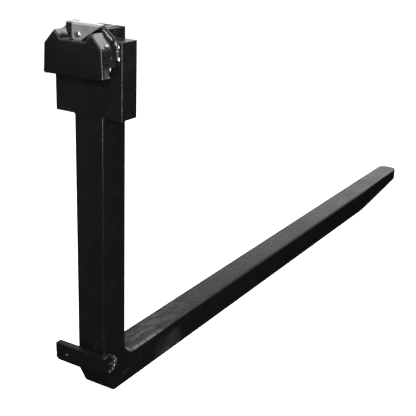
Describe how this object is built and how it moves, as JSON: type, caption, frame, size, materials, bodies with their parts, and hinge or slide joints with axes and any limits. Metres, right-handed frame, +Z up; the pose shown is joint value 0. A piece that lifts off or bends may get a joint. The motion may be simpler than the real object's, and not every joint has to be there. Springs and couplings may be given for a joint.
{
  "type": "lift truck fork",
  "caption": "Narrow L-shaped lift fork: thick shank with a wide head, horned upper hook with a flip-up latch, lower hook and a blade that tapers to a rounded tip.",
  "frame": {"origin": "on the ground under the middle of the fork's bounding box", "axes": "+Y along the blade towards its tip, +Z up along the shank, +X to the right when looking along the blade"},
  "size_m": [0.107, 1.217, 0.5276],
  "materials": {
    "black_paint": "semi-gloss black paint over rolled steel",
    "painted_weld": "glossy black paint over weld beads",
    "dark_steel": "black oxide",
    "spring_steel": "drawn wire",
    "zinc_plate": "dull zinc plating",
    "rivet_steel": "bright zinc plating"
  },
  "bodies": {
    "fork": {"fork_arm": "black_paint", "upper_hook": "black_paint", "lower_hook": "black_paint", "upper_welds": "painted_weld", "lower_welds": "painted_weld", "latch_spring": "spring_steel"},
    "pin": {"lock_pin": "dark_steel"},
    "lever": {"latch_lever": "zinc_plate", "latch_cam": "dark_steel", "latch_rivet": "rivet_steel"}
  },
  "joints": [
    {"name": "pin_lift", "type": "slide", "parent": "fork", "child": "pin", "axis": [0, 0, 1], "range_m": [0, 0.013], "stiffness_N_per_m": 770, "springref_m": -0.0104, "deforming": ["latch_spring"]},
    {"name": "lever_flip", "type": "hinge", "parent": "pin", "child": "lever", "pos_m": [0, -0.58825, 0.5123], "axis": [0, -1, 0], "range_deg": [0, 90]}
  ],
  "couplings": [
    {"joint": "lever_flip", "follows": "pin_lift", "rad_per_m": 120.8}
  ]
}
